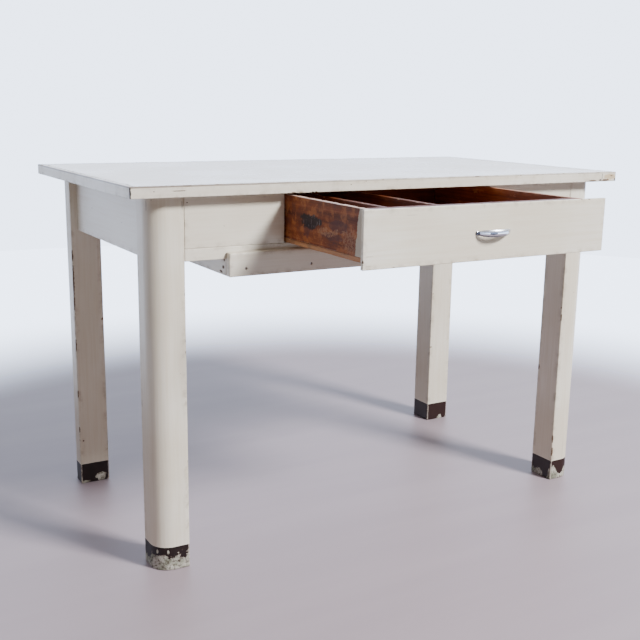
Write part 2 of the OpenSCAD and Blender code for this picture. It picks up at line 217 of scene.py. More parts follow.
def board(name, low, high, along, material, radius=1.5 * MM, step=9 * MM, worn=0.5, seed=1,
          wavy=0.2 * MM, pits=(), soft_edge=None, shape=None):
    """A plank between two corners, its grain along axis 0, 1 or 2, with worn, slightly wavy faces.

    pits is a list of (face axis, side, centre, radius, depth); soft_edge is (axis, side, axis, side,
    radius) for one edge that is rounded more; shape is a last change of the vertices.
    """
    low, high = np.array(low), np.array(high)
    size = high - low
    axes = []
    for n in range(3):
        extra = [(p[2][n] - low[n], p[3]) for p in pits if p[0] != n]
        axis_step = step if n == along else min(step, max(size[n] / 3, 5 * MM))
        axes.append(low[n] + spaced(size[n], radius, axis_step, extra))
    points, faces = box_grid(axes)
    gaps = np.minimum(points - low, high - points)
    edge = np.sort(gaps, axis=1)[:, 1]
    end_face = (gaps[:, along] < TOUCHING).astype(float)
    chip = wear(points, edge, seed, worn, along)
    slow = np.maximum(0, noise(points, 60 * MM, seed + 3))
    local = radius * (1 + worn * slow + 1.6 * chip)
    if soft_edge:
        a, a_side, b, b_side, big = soft_edge
        to_a = high[a] - points[:, a] if a_side > 0 else points[:, a] - low[a]
        to_b = high[b] - points[:, b] if b_side > 0 else points[:, b] - low[b]
        local = np.where((to_a < 1.6 * big) & (to_b < 1.6 * big), np.maximum(local, big), local)
    local = np.minimum(local, size.min() / 2.2)
    placed = rounded(points, low, high, local)
    inward = np.where(gaps < TOUCHING, np.where(points - low < TOUCHING, 1.0, -1.0), 0.0)
    inward /= np.maximum(np.linalg.norm(inward, axis=1), 1)[:, None]
    ripple = 0.5 + 0.35 * noise(points, 120 * MM, seed + 4) + 0.15 * noise(points, 25 * MM, seed + 5)
    placed += inward * (wavy * ripple)[:, None]
    pit = np.zeros(len(points))
    for axis, side, centre, reach, depth in pits:
        face = high[axis] if side > 0 else low[axis]
        off = points - np.array(centre)
        off[:, axis] = 0
        on_face = np.abs(points[:, axis] - face) < TOUCHING
        inside = on_face & (np.linalg.norm(off, axis=1) < reach * 1.02)
        placed[inside, axis] -= side * depth
        pit[inside] = 1
    if shape:
        placed = shape(placed)
    facts = {"grain": grain_of(placed, along, seed), "edge": edge, "chip": chip,
             "end_face": end_face, "pit": pit}
    return mesh_piece(name, placed, faces, facts, material)


def outline(corners, step):
    """Closed outline from (x, y, radius) corners, anticlockwise: points, normals, edge distances."""
    points, normals, sharp = [], [], []
    count = len(corners)
    for n in range(count):
        x, y, r = corners[n]
        before = Vector(corners[n - 1][:2]) - Vector((x, y))
        after = Vector(corners[(n + 1) % count][:2]) - Vector((x, y))
        centre = Vector((x, y)) + (before.normalized() + after.normalized()) * r
        start = math.atan2(-after.normalized().y, -after.normalized().x)
        turns = 14 if r > SHARP_BELOW else 4
        for i in range(turns + 1):
            angle = start + math.pi / 2 * i / turns
            normal = Vector((math.cos(angle), math.sin(angle)))
            points.append(centre + normal * r)
            normals.append(normal)
            sharp.append(r < SHARP_BELOW)
        next_r = corners[(n + 1) % count][2]
        length = after.length - r - next_r
        flat = max(1, round(length / step))
        begin, normal = points[-1].copy(), normals[-1].copy()
        for i in range(1, flat):
            points.append(begin + after.normalized() * (length * i / flat))
            normals.append(normal)
            sharp.append(False)
    points, normals = np.array(points), np.array(normals)
    edges = points[np.array(sharp)]
    distance = np.linalg.norm(points[:, None] - edges[None], axis=2).min(axis=1)
    return points, normals, distance


def leg_section(low, high, round_corner):
    """Outline of a square leg with one rounded corner, given by its sign in x and y."""
    corners = []
    for sx, sy in ((-1, -1), (1, -1), (1, 1), (-1, 1)):
        radius = LEG_ROUND if (sx, sy) == round_corner else LEG_ARRIS
        corners.append((high.x if sx > 0 else low.x, high.y if sy > 0 else low.y, radius))
    return outline(corners, LEG_AROUND)


def capped(placed, levels, middle):
    """Vertices and faces of rings of points on that many levels, with both ends closed."""
    count = len(placed) // levels
    rows = [list(range(level * count, (level + 1) * count)) for level in range(levels)]
    faces = [face for row, above in zip(rows, rows[1:]) for face in quads(row, above)]
    verts, total = [placed], len(placed)
    for top, rim in ((False, rows[0]), (True, rows[-1])):
        source, cap = placed[rim], []
        for share in (0.7, 0.35):
            inner = source.copy()
            inner[:, :2] = middle + (source[:, :2] - middle) * share
            verts.append(inner)
            fresh = list(range(total, total + count))
            cap += quads(rim, fresh)
            total += count
            rim = fresh
        verts.append(np.array([[*middle, source[0, 2]]]))
        cap += [[rim[i], rim[(i + 1) % count], total] for i in range(count)]
        total += 1
        faces += cap if top else [face[::-1] for face in cap]
    return np.concatenate(verts), faces


def leg(node, round_corner, material, worn, foot_wear, patches, seed):
    """Square leg along Z whose outer corner is rounded; round_corner is its sign in x and y.

    foot_wear is how much of the foot's dark band is gone; patches adds (centre, reach, amount) spots.
    """
    low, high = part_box(node)
    points, normals, distance = leg_section(low, high, round_corner)
    levels = low.z + spaced(high.z - low.z, LEG_END, LEG_LEVELS)
    placed, edge = [], []
    for z in levels:
        to_end = min(z - low.z, high.z - z)
        short = max(LEG_END - to_end, 0)
        inset = LEG_END - math.sqrt(LEG_END ** 2 - min(short, LEG_END) ** 2)
        placed.append(np.column_stack([points - normals * inset, np.full(len(points), z)]))
        edge.append(np.minimum(distance, max(to_end, 0)))
    placed, edge = np.concatenate(placed), np.concatenate(edge)
    edge += 6 * MM * smooth(placed[:, 2], APRON_FROM, APRON_TO)
    chip = wear(placed, edge, seed, worn, 2)
    ripple = 0.5 + 0.35 * noise(placed, (60 * MM, 60 * MM, 150 * MM), seed + 4)
    ripple += 0.15 * noise(placed, 20 * MM, seed + 5)
    depth = 0.35 * MM * ripple + 0.9 * MM * chip
    near_foot = 1 - smooth(placed[:, 2], low.z + 4 * MM, low.z + 40 * MM)
    bites = smooth(noise(placed, 9 * MM, seed + 6), 0.1, 0.8) * near_foot
    depth += max(foot_wear, 0.3) * 1.1 * MM * bites
    placed[:, :2] -= np.tile(normals, (len(levels), 1)) * depth[:, None]
    verts, faces = capped(placed, len(levels), np.array((low + high).xy) / 2)
    caps = len(verts) - len(edge)
    worn_off = np.full(len(verts), float(foot_wear))
    for centre, reach, amount in patches:
        away = (verts - np.array(centre)) / np.array(reach)
        worn_off += amount * np.exp(-(away ** 2).sum(axis=1))
    none = np.zeros(len(verts))
    facts = {"grain": grain_of(verts, 2, seed), "edge": np.append(edge, np.full(caps, 10 * MM)),
             "chip": np.append(chip, np.zeros(caps)), "end_face": none, "pit": none,
             "foot_wear": worn_off}
    return mesh_piece(node + "_wood", verts, faces, facts, material)


# ---- materials ---------------------------

MIX_SHARE, MIX_A, MIX_B, MIX_RESULT = 0, 6, 7, 2  # the Mix node's sockets for colours


class Shader:
    """Short-hand for building one material's nodes."""

    def __init__(self, name):
        self.material = bpy.data.materials.new(name)
        self.material.use_nodes = True
        self.tree = self.material.node_tree
        self.tree.nodes.clear()
        out = self.tree.nodes.new("ShaderNodeOutputMaterial")
        self.bsdf = self.tree.nodes.new("ShaderNodeBsdfPrincipled")
        self.tree.links.new(self.bsdf.outputs[0], out.inputs[0])

    def put(self, socket, value):
        """Links an output to a socket, or sets the socket to a number or colour."""
        if isinstance(value, bpy.types.NodeSocket):
            self.tree.links.new(value, socket)
        elif isinstance(value, (tuple, list)) and len(value) == 3 and socket.type == "RGBA":
            socket.default_value = (*value, 1)
        else:
            socket.default_value = value

    def add(self, kind, inputs, output=0, **settings):
        """Adds a node, fills its inputs (by name or number) and returns one output."""
        node = self.tree.nodes.new(kind)
        for key, value in settings.items():
            setattr(node, key, value)
        for key, value in inputs.items():
            self.put(node.inputs[key], value)
        return node.outputs[output]

    def finish(self, **inputs):
        """Fills the Principled shader's inputs, with _ for a space, and returns the material."""
        for key, value in inputs.items():
            self.put(self.bsdf.inputs[key.replace("_", " ")], value)
        return self.material

    def fact(self, name, vector=False):
        return self.add("ShaderNodeAttribute", {}, "Vector" if vector else "Fac", attribute_name=name)

    def place(self):
        return self.add("ShaderNodeTexCoord", {}, "Object")

    def stretch(self, vector, scale):
        return self.add("ShaderNodeMapping", {"Vector": vector, "Scale": scale})

    def noise(self, vector, scale, detail=3.0, roughness=0.5, distortion=0.0):
        return self.add("ShaderNodeTexNoise", {"Vector": vector, "Scale": scale, "Detail": detail,
                        "Roughness": roughness, "Distortion": distortion}, "Fac")

    def math(self, operation, a, b=0.0, clamp=False):
        return self.add("ShaderNodeMath", {0: a, 1: b}, operation=operation, use_clamp=clamp)

    def plus(self, a, b, clamp=False):
        return self.math("ADD", a, b, clamp)

    def minus(self, a, b):
        return self.math("SUBTRACT", a, b)

    def times(self, a, b):
        return self.math("MULTIPLY", a, b)

    def apart(self, a, b):
        """How far two numbers are from each other."""
        return self.math("ABSOLUTE", self.minus(a, b))

    def any_of(self, *masks):
        """The largest of several masks."""
        total = masks[0]
        for mask in masks[1:]:
            total = self.math("MAXIMUM", total, mask)
        return total

    def step(self, value, low, high, to_low=0.0, to_high=1.0):
        return self.add("ShaderNodeMapRange", {"Value": value, "From Min": low, "From Max": high,
                        "To Min": to_low, "To Max": to_high}, interpolation_type="SMOOTHSTEP")

    def mix(self, share, a, b):
        inputs = {MIX_SHARE: share, MIX_A: a, MIX_B: b}
        return self.add("ShaderNodeMix", inputs, MIX_RESULT, data_type="RGBA")

    def bump(self, height, distance, normal=None):
        inputs = {"Height": height, "Distance": distance}
        if normal is not None:
            inputs["Normal"] = normal
        return self.add("ShaderNodeBump", inputs)

    def spot(self, place, ragged, centre, reach):
        """A ragged mask over the ellipsoid with that centre and those half-widths."""
        offset = self.add("ShaderNodeVectorMath", {0: place, 1: centre}, operation="SUBTRACT")
        scaled = self.add("ShaderNodeVectorMath", {0: offset, 1: reach}, operation="DIVIDE")
        distance = self.add("ShaderNodeVectorMath", {0: scaled}, "Value", operation="LENGTH")
        wobble = self.plus(distance, self.times(ragged, 1.6))
        return self.step(wobble, 1.6, 1.8, 1.0, 0.0)

    def spots(self, place, ragged, marks):
        """One mask for several (centre, reach) spots."""
        return self.any_of(*[self.spot(place, ragged, *mark) for mark in marks])

    def part(self, vector, axis):
        return self.add("ShaderNodeSeparateXYZ", {"Vector": vector}, axis)


CREAM, CREAM_PALE, CREAM_YELLOW = (0.66, 0.60, 0.49), (0.74, 0.70, 0.61), (0.56, 0.47, 0.33)
OLD_WOOD, WORN_WOOD = (0.085, 0.052, 0.032), (0.19, 0.125, 0.075)
GRIME, CHIP_RIM, RUBBED_LINE = (0.30, 0.235, 0.16), (0.40, 0.31, 0.20), (0.13, 0.085, 0.055)
SCRATCH, FAINT_SCRATCH = (0.22, 0.17, 0.12), (0.25, 0.19, 0.13)
FILLER, HOLE = (0.46, 0.33, 0.18), (0.018, 0.011, 0.008)


def paint_layers(s, colour_a=CREAM, colour_b=CREAM_PALE, chips=0.0, gloss=0.0,
                 bare=(), dark=(), faint=(), filled=(), worn_edge=None):
    """Brushed old paint: colour, roughness and bump normal.

    bare, dark, faint and filled are (centre, reach) marks: bare wood, dark holes and cracks,
    light scratches and yellowish filler. worn_edge is the height of an edge rubbed to a dark line.
    """
    grain, edge, place = s.fact("grain", vector=True), s.fact("edge"), s.place()
    slow = s.noise(grain, 4.0, detail=4)
    streak = s.noise(s.stretch(grain, (7, 190, 190)), 1.0, detail=5, roughness=0.6)
    colour = s.mix(s.step(slow, 0.35, 0.7), colour_a, colour_b)
    colour = s.mix(s.step(streak, 0.3, 0.75, 0, 0.35), colour, CREAM_YELLOW)
    rub = s.noise(grain, 38.0, detail=6, roughness=0.65)
    grime = s.times(s.step(rub, 0.45, 0.7), s.step(edge, 0.0, 14 * MM, 0.55, 0.0))
    colour = s.mix(grime, colour, GRIME)
    specks = s.step(s.noise(grain, 130.0, detail=2), 0.785, 0.80)
    long_chips = s.noise(s.stretch(grain, (45, 260, 260)), 1.0, detail=5, roughness=0.7)
    chipped = s.plus(long_chips, s.step(edge, 0.2 * MM, 3.0 * MM, 0.19 + chips, -0.2))
    scratches = s.noise(s.stretch(grain, (14, 900, 900)), 1.0, detail=2)
    patches = s.step(s.noise(grain, 11.0, detail=2), 0.58, 0.64)
    scratched = s.times(s.step(scratches, 0.76, 0.80), patches)
    chip = s.fact("chip")
    gone = s.any_of(s.step(chipped, 0.775, 0.80), specks, s.step(chip, 0.45, 0.6), s.fact("pit"))
    rim = s.any_of(s.step(chipped, 0.745, 0.775), s.step(chip, 0.2, 0.45))
    colour = s.mix(s.times(rim, 0.55), colour, CHIP_RIM)
    colour = s.mix(s.times(scratched, 0.7), colour, SCRATCH)
    wood = s.mix(s.noise(s.stretch(grain, (20, 400, 400)), 1.0), OLD_WOOD, WORN_WOOD)
    ragged = s.noise(grain, 240.0, detail=4, roughness=0.7)
    if filled:
        colour = s.mix(s.times(s.spots(place, ragged, filled), 0.7), colour, FILLER)
    if faint:
        colour = s.mix(s.times(s.spots(place, ragged, faint), 0.45), colour, FAINT_SCRATCH)
    if bare:
        gone = s.any_of(gone, s.spots(place, ragged, bare))
    if worn_edge:
        below = s.step(s.part(place, 2), worn_edge - 4.0 * MM, worn_edge - 2.6 * MM)
        thin = s.step(s.plus(edge, s.times(rub, 2.4 * MM)), 3.4 * MM, 4.6 * MM, 1.0, 0.0)
        to_left = s.step(s.part(place, 0), -0.56, 0.1, 0.95, 0.35)
        colour = s.mix(s.times(s.times(below, thin), to_left), colour, RUBBED_LINE)
    colour = s.mix(gone, colour, wood)
    if dark:
        colour = s.mix(s.spots(place, ragged, dark), colour, HOLE)
    roughness = s.step(slow, 0.3, 0.7, 0.34 - gloss, 0.46 - gloss)
    roughness = s.plus(roughness, s.times(grime, 0.25))
    roughness = s.plus(roughness, s.times(gone, 0.4), clamp=True)
    height = s.plus(streak, s.times(s.noise(grain, 420.0, detail=2), 0.25))
    height = s.minus(s.minus(height, s.times(gone, 2.2)), scratched)
    return colour, roughness, s.bump(height, 0.16 * MM)


def paint(name, **options):
    """Old cream paint on a board."""
    s = Shader(name)
    colour, roughness, normal = paint_layers(s, **options)
    return s.finish(Base_Color=colour, Roughness=roughness, Normal=normal, Specular_IOR_Level=0.5)


BAND_BLACK, BAND_BROWN, BAND_RED = (0.006, 0.004, 0.004), (0.020, 0.010, 0.009), (0.026, 0.009, 0.008)
UNDER_GREEN, UNDER_CREAM, UNDER_FLECK = (0.22, 0.225, 0.17), (0.43, 0.41, 0.35), (0.085, 0.07, 0.05)
CRACK, PATCH_RIM, PALE_EDGE = (0.05, 0.035, 0.025), (0.10, 0.07, 0.055), (0.50, 0.44, 0.38)
LINE_ABOVE_BAND = (0.76, 0.72, 0.62)


def leg_paint(name, band_top, drips, **options):
    """Cream paint with a dark, worn band round the foot, up to band_top above the floor."""
    s = Shader(name)
    colour, roughness, normal = paint_layers(s, **options)
    grain, place = s.fact("grain", vector=True), s.place()
    height = s.part(place, 2)
    ragged = s.noise(grain, 260.0, detail=4, roughness=0.7)
    line = s.plus(height, s.times(s.minus(ragged, 0.5), 1.2 * MM))
    band = s.step(line, band_top - 0.3 * MM, band_top + 0.3 * MM, 1.0, 0.0)
    big = s.noise(grain, 48.0, detail=6, roughness=0.66)
    fall = s.step(height, 4 * MM, band_top, 0.17, -0.17)
    loss = s.plus(s.plus(big, fall), s.times(s.fact("foot_wear"), 0.16))
    patch = s.any_of(s.step(loss, 0.665, 0.68), s.spots(place, ragged, drips))
    flecks = s.step(s.noise(grain, 150.0, detail=5, roughness=0.75), 0.50, 0.58)
    crack = s.step(s.apart(big, 0.56), 0.004, 0.012, 0.75, 0.0)
    dark = s.mix(s.noise(grain, 60.0, detail=5), BAND_BLACK, BAND_BROWN)
    dark = s.mix(s.step(s.part(place, 0), 0.35, 0.45, 0.0, 0.6), dark, BAND_RED)
    under = s.mix(s.step(s.noise(grain, 26.0, detail=3), 0.42, 0.58), UNDER_GREEN, UNDER_CREAM)
    under = s.mix(s.times(flecks, 0.8), under, UNDER_FLECK)
    under = s.mix(crack, under, CRACK)
    foot = s.mix(s.step(loss, 0.645, 0.665), dark, PATCH_RIM)
    foot = s.mix(patch, foot, under)
    thin_edge = s.step(s.fact("edge"), 0.5 * MM, 1.3 * MM, 0.75, 0.0)
    foot = s.mix(s.times(thin_edge, s.step(ragged, 0.40, 0.52)), foot, PALE_EDGE)
    colour = s.mix(band, colour, foot)
    line_off = s.apart(line, band_top + 0.9 * MM)
    colour = s.mix(s.step(line_off, 0.3 * MM, 0.9 * MM, 0.5, 0), colour, LINE_ABOVE_BAND)
    roughness = s.mix(band, roughness, s.plus(s.times(patch, 0.25), 0.5))
    normal = s.bump(s.times(band, s.minus(1.0, patch)), 0.4 * MM, normal)
    return s.finish(Base_Color=colour, Roughness=roughness, Normal=normal, Specular_IOR_Level=0.22)


def wood_layers(s, dark, middle, light):
    """Straight-grained wood: colour and relief."""
    grain = s.fact("grain", vector=True)
    rings = s.noise(s.stretch(grain, (2.2, 60, 60)), 1.0, detail=5, roughness=0.6, distortion=0.6)
    pores = s.noise(s.stretch(grain, (30, 900, 900)), 1.0, detail=3)
    colour = s.mix(s.step(rings, 0.3, 0.52), dark, middle)
    colour = s.mix(s.step(rings, 0.5, 0.72), colour, light)
    pore_mask = s.step(pores, 0.56, 0.70, 0.0, 0.45)
    colour = s.mix(pore_mask, colour, dark)
    colour = s.mix(s.times(s.fact("end_face"), 0.45), colour, dark)
    return grain, colour, s.minus(s.times(rings, 0.6), pore_mask)


STAIN_DARK, STAIN_MIDDLE, STAIN_LIGHT = (0.075, 0.014, 0.006), (0.20, 0.050, 0.015), (0.33, 0.105, 0.036)
BLACK_SPILL, SPILL_SCRATCH = (0.014, 0.010, 0.013), (0.34, 0.29, 0.30)


def stained_wood(name, top=None, outside=False):
    """Dark red-brown stained drawer wood; top is the colour of its rubbed upper edges. Without top, the
    wood and its rubbed edges are darkened towards near-black as painted shade for the drawer's inside.
    """
    s = Shader(name)
    grain, colour, relief = wood_layers(s, STAIN_DARK, STAIN_MIDDLE, STAIN_LIGHT)
    blotch = s.noise(grain, 22.0, detail=6, roughness=0.6)
    colour = s.mix(s.step(blotch, 0.5, 0.62, 0, 0.55), colour, (0.10, 0.026, 0.014))
    scuff = s.noise(s.stretch(grain, (18, 55, 55)), 1.0, detail=6, roughness=0.7)
    colour = s.mix(s.step(scuff, 0.60, 0.66, 0, 0.4), colour, (0.42, 0.21, 0.11))
    edge = s.fact("edge")
    rub = s.plus(edge, s.times(blotch, -2.5 * MM))
    # Without top the rubbing is only faint, part of the painted shade of the drawer's inside.
    rubbed = s.step(rub, -1.4 * MM, 0.2 * MM, 0.6 if top else 0.12, 0.0)
    if top:
        up = s.part(s.add("ShaderNodeNewGeometry", {}, "Normal"), 2)
        bare = s.mix(s.noise(s.stretch(grain, (20, 300, 300)), 1.0), top, tuple(c * 1.25 for c in top))
        rubbed = s.any_of(s.step(up, 0.5, 0.8), rubbed)
    else:
        # Painted shade: inside pieces get dark rubbed edges and wood mixed 45% towards near-black.
        bare = (0.20, 0.065, 0.030)
        colour = s.mix(0.45, colour, (0.030, 0.008, 0.004))
    colour = s.mix(rubbed, colour, bare)
    colour = s.mix(s.step(s.fact("chip"), 0.4, 0.6), colour, (0.30, 0.16, 0.09))
    roughness = s.step(blotch, 0.3, 0.7, 0.62, 0.5)
    normal = s.bump(relief, 0.25 * MM)
    if outside:
        colour, roughness, normal = side_marks(s, grain, colour, roughness, normal)
    return s.finish(Base_Color=colour, Roughness=roughness, Normal=normal, Specular_IOR_Level=0.12)


def side_marks(s, grain, colour, roughness, normal):
    """Paint slopped behind the facing, a dark spill with scratches, and pale scuffs low down."""
    place = s.place()
    low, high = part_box("drawer_side_left")
    ragged = s.noise(grain, 70.0, detail=5, roughness=0.65)
    fine = s.noise(grain, 240.0, detail=4, roughness=0.7)
    mottle = s.noise(grain, 36.0, detail=6, roughness=0.72)
    colour = s.mix(s.step(mottle, 0.50, 0.60, 0.0, 0.55), colour, (0.42, 0.145, 0.045))
    colour = s.mix(s.step(mottle, 0.36, 0.46, 0.5, 0.0), colour, (0.085, 0.026, 0.024))

    def at(y, z, half_y, half_z):
        return (low.x, low.y + y * MM, low.z + z * MM), (4 * MM, half_y * MM, half_z * MM)

    purple = s.spots(place, ragged, [at(90, 45, 35, 12), at(110, 25, 40, 8), at(205, 30, 15, 22)])
    colour = s.mix(s.times(purple, 0.65), colour, (0.070, 0.024, 0.030))
    strokes = s.noise(s.stretch(grain, (420, 60, 420)), 1.0, detail=4)
    upright = s.times(s.step(strokes, 0.56, 0.64, 0.0, 0.35), s.step(mottle, 0.4, 0.55))
    colour = s.mix(upright, colour, (0.16, 0.07, 0.05))
    pale = s.spots(place, fine, [at(130, 30, 35, 9), at(95, 35, 7, 6), at(70, 35, 9, 6)])
    pale = s.any_of(pale, s.times(s.spots(place, ragged, [at(40, 22, 35, 25)]), 0.85))
    mesh = s.step(s.noise(s.stretch(grain, (260, 260, 260)), 1.0, detail=5, roughness=0.8), 0.42, 0.56)
    colour = s.mix(s.times(pale, s.times(mesh, 0.6)), colour, (0.45, 0.24, 0.14))
    spill = s.spots(place, ragged, [at(195, 43, 35, 15), at(170, 45, 25, 9)])
    colour = s.mix(s.times(spill, 0.93), colour, BLACK_SPILL)
    lines = s.noise(s.stretch(grain, (420, 60, 60)), 1.0, detail=2)
    scratch = s.times(s.step(lines, 0.635, 0.69), s.times(spill, 0.75))
    colour = s.mix(scratch, colour, SPILL_SCRATCH)
    slanted = s.plus(s.part(place, 1), s.times(s.part(place, 2), 0.14))
    behind = s.minus(slanted, s.times(ragged, 14 * MM))
    slop_edge = low.y + 0.14 * high.z + 12 * MM
    outer_face = s.step(s.part(place, 0), low.x + 2 * MM, low.x + 4 * MM, 1.0, 0.0)
    slop = s.times(s.step(behind, slop_edge, slop_edge + 1 * MM, 1.0, 0.0), outer_face)
    cream = s.mix(s.noise(grain, 60.0, detail=4), (0.44, 0.39, 0.32), (0.62, 0.58, 0.50))
    colour = s.mix(slop, colour, cream)
    roughness = s.mix(slop, roughness, (0.45, 0.45, 0.45))
    normal = s.bump(slop, 0.3 * MM, normal)
    return colour, roughness, normal


def bare_wood(name, dark=(0.16, 0.085, 0.04), middle=(0.33, 0.19, 0.10), light=(0.47, 0.30, 0.17)):
    """Unfinished softwood gone brown with age."""
    s = Shader(name)
    grain, colour, relief = wood_layers(s, dark, middle, light)
    dirt = s.noise(grain, 30.0, detail=6, roughness=0.6)
    colour = s.mix(s.step(dirt, 0.5, 0.68, 0, 0.5), colour, (0.12, 0.07, 0.04))
    colour = s.mix(s.step(s.fact("chip"), 0.4, 0.6, 0, 0.7), colour, light)
    return s.finish(Base_Color=colour, Roughness=s.step(dirt, 0.3, 0.7, 0.78, 0.66),
                    Normal=s.bump(relief, 0.3 * MM), Specular_IOR_Level=0.3)


def chrome(name):
    """Old bright chrome with fine scratches and a few dull spots, with a painted highlight band along its
    top, painted dark reflections across the bow and a dark spot at its left foot.
    """
    s = Shader(name)
    place = s.place()
    fine = s.noise(s.stretch(place, (300, 3000, 3000)), 1.0, detail=3)
    spots = s.noise(place, 420.0, detail=4, roughness=0.7)
    dull = s.step(spots, 0.66, 0.72, 0, 1)
    colour = s.mix(s.times(dull, 0.6), (0.62, 0.65, 0.71), (0.30, 0.25, 0.20))
    # Painted reflections: girth places a dark line across the bow's middle and a dark lower edge, colour
    # standing in for dark reflections.
    girth = s.fact("girth")
    wander = s.plus(girth, s.times(s.noise(place, 60.0, detail=2), 0.25))
    line = s.step(s.apart(wander, 0.42), 0.05, 0.16, 0.9, 0.0)
    lower = s.step(wander, -0.62, -0.42, 0.9, 0.0)
    low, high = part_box("drawer_handle")
    x, y, z = (low + high) / 2
    # A painted dark reflection in the bow's middle and a dark spot at its left foot.
    dark_spots = [((x - 15 * MM, y, z), (8 * MM, 1.0, 2.6 * MM)),
                  ((x - 40 * MM, y, z - 1 * MM), (4.2 * MM, 1.0, 5 * MM))]
    spot = s.spots(place, s.noise(place, 200.0), dark_spots)
    dark_reflections_and_foot_spot = s.times(s.any_of(line, lower, spot), s.math("LESS_THAN", girth, 0.98))
    # Painted highlight: a pale, rougher band along the bow's top.
    upper = s.step(wander, 0.55, 0.72)
    colour = s.mix(s.times(upper, 0.8), colour, (0.90, 0.92, 0.96))
    colour = s.mix(s.times(dark_reflections_and_foot_spot, 0.93), colour, (0.055, 0.06, 0.085))
    roughness = s.plus(s.step(fine, 0.4, 0.7, 0.07, 0.13), s.times(dull, 0.35))
    roughness = s.plus(roughness, s.times(upper, 0.30))
    return s.finish(Base_Color=colour, Metallic=1.0, Roughness=roughness,
                    Normal=s.bump(s.minus(fine, dull), 0.01 * MM))


def steel(name):
    """Rusty grey steel of nails and screws."""
    s = Shader(name)
    place = s.place()
    rust = s.step(s.noise(place, 650.0, detail=6, roughness=0.7), 0.42, 0.58)
    shade = s.noise(place, 1800.0, detail=2)
    metal = s.mix(shade, (0.26, 0.25, 0.24), (0.42, 0.41, 0.39))
    colour = s.mix(rust, metal, (0.10, 0.045, 0.022))
    return s.finish(Base_Color=colour, Metallic=s.minus(1.0, rust),
                    Roughness=s.step(rust, 0, 1, 0.42, 0.85), Normal=s.bump(rust, 0.05 * MM))


# ---- the table ---------------------------

FOOT_BAND = 50 * MM
TABLE, DRAWER = "table", "drawer"

leg_fl, leg_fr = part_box("leg_front_left"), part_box("leg_front_right")
leg_bl, leg_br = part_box("leg_back_left"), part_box("leg_back_right")
inner_x = leg_br[0].x
between_legs = (-inner_x, inner_x), (leg_fl[1].y, leg_br[0].y)  # in x and in y
facing_low, bearer_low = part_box("drawer_facing")[0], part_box("bearer_left")[0]
front_low, front_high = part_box("top_edging_front")


def mark(x, y, z, half_x, half_y, half_z):
    """A mark's centre in metres and its half-widths from millimetres."""
    return (x, y, z), (half_x * MM, half_y * MM, half_z * MM)


def on_front_edge(x, down, half_x, half_z):
    """A mark on the front edging, x mm from the middle and down mm below the top."""
    return mark(x * MM, front_low.y, front_high.z - down * MM, half_x, 3, half_z)


def on_leg(corner, out, z, half_x, half_z):
    """A mark at a leg's corner (x, y), out mm to its right and z mm above the floor."""
    return mark(corner[0] + out * MM, corner[1], z * MM, half_x, 3, half_z)


def on_facing(x, up, half_x, half_z):
    """A mark on the drawer facing, x mm from the middle and up mm above its lower edge."""
    return mark(x * MM, facing_low.y, facing_low.z + up * MM, half_x, 3, half_z)


def on_bearer(y, up, half_y, half_z):
    """A mark on the left bearer's outer side, y mm behind its front end."""
    return mark(bearer_low.x, bearer_low.y + y * MM, bearer_low.z + up * MM, 3, half_y, half_z)


fl_corner, fr_corner, bl_corner = leg_fl[0], leg_fr[0], leg_bl[0]
fl_right = Vector((leg_fl[1].x, leg_fl[0].y))
bl_right = Vector((leg_bl[1].x, leg_bl[0].y))


def on_rounding(angle, z, half_width, half_z):
    """A mark on the front left leg's rounded corner, at an angle in degrees seen from above."""
    turn = math.radians(angle)
    x = fl_corner.x + LEG_ROUND * (1 + math.cos(turn))
    y = fl_corner.y + LEG_ROUND * (1 + math.sin(turn))
    return mark(x, y, z * MM, half_width, half_width, half_z)


edge_bare = [on_front_edge(-555, 10, 1.6, 1.3), on_front_edge(-505, 10, 15, 0.9),
             on_front_edge(-490, 0.5, 8, 2.0), on_front_edge(-140, 9, 1.8, 1.2),
             on_front_edge(-105, 3, 1.5, 1.2), on_front_edge(525, 19.5, 13, 2.2),
             on_front_edge(565, 19, 12, 3.0), on_front_edge(585, 9, 4, 1.5)]
edge_dark = [on_front_edge(-600, 12, 3.0, 14), on_front_edge(555, 10, 0.9, 9),
             on_front_edge(550, 18.5, 5, 2), on_front_edge(598, 18, 3.5, 4)]
edge_filled = [on_front_edge(580, 11, 20, 7)]
leg_bare = [on_leg(bl_corner, 0, 565, 3.0, 16), on_leg(bl_corner, 0, 505, 4.0, 42),
            on_leg(bl_corner, 0, 455, 3.0, 26), on_leg(bl_corner, 0, 350, 2.8, 18),
            on_leg(bl_corner, 0, 230, 2.4, 12), on_leg(bl_corner, 0, 140, 2.2, 10),
            on_leg(bl_corner, 9, 110, 2.2, 2.4), on_leg(bl_right, 0, 520, 2.4, 14),
            on_leg(bl_right, 0, 455, 2.2, 12), on_leg(fr_corner, 0, 600, 3.2, 24),
            on_leg(fr_corner, 0, 420, 2.0, 10), on_leg(fr_corner, 0, 110, 2.4, 12),
            on_leg(fr_corner, 1, 75, 3.0, 14)]
leg_dark = [on_leg(fl_right, -4, 730, 0.6, 10)]
leg_faint = [on_rounding(205, 730, 2, 10), on_leg(fr_corner, 36, 80, 0.6, 42),
             on_leg(fr_corner, 52, 330, 0.6, 60)]
foot_drips = [on_rounding(215, 40, 2.8, 5.0), on_rounding(250, 40, 2.4, 5.0)]
apron_dark = [mark(6 * MM - inner_x, fl_corner.y + 3 * MM, 0.735, 1.7, 4, 1.7)]
bearer_bare = [on_bearer(15, 16, 6, 4), on_bearer(25, 6, 7, 3), on_bearer(10, 30, 4, 3)]
facing_faint = [on_facing(-265, 24, 9, 0.7), on_facing(-265, 7.5, 8, 0.7), on_facing(50, 4, 27, 0.6),
                on_facing(-180, 92, 14, 0.5)]

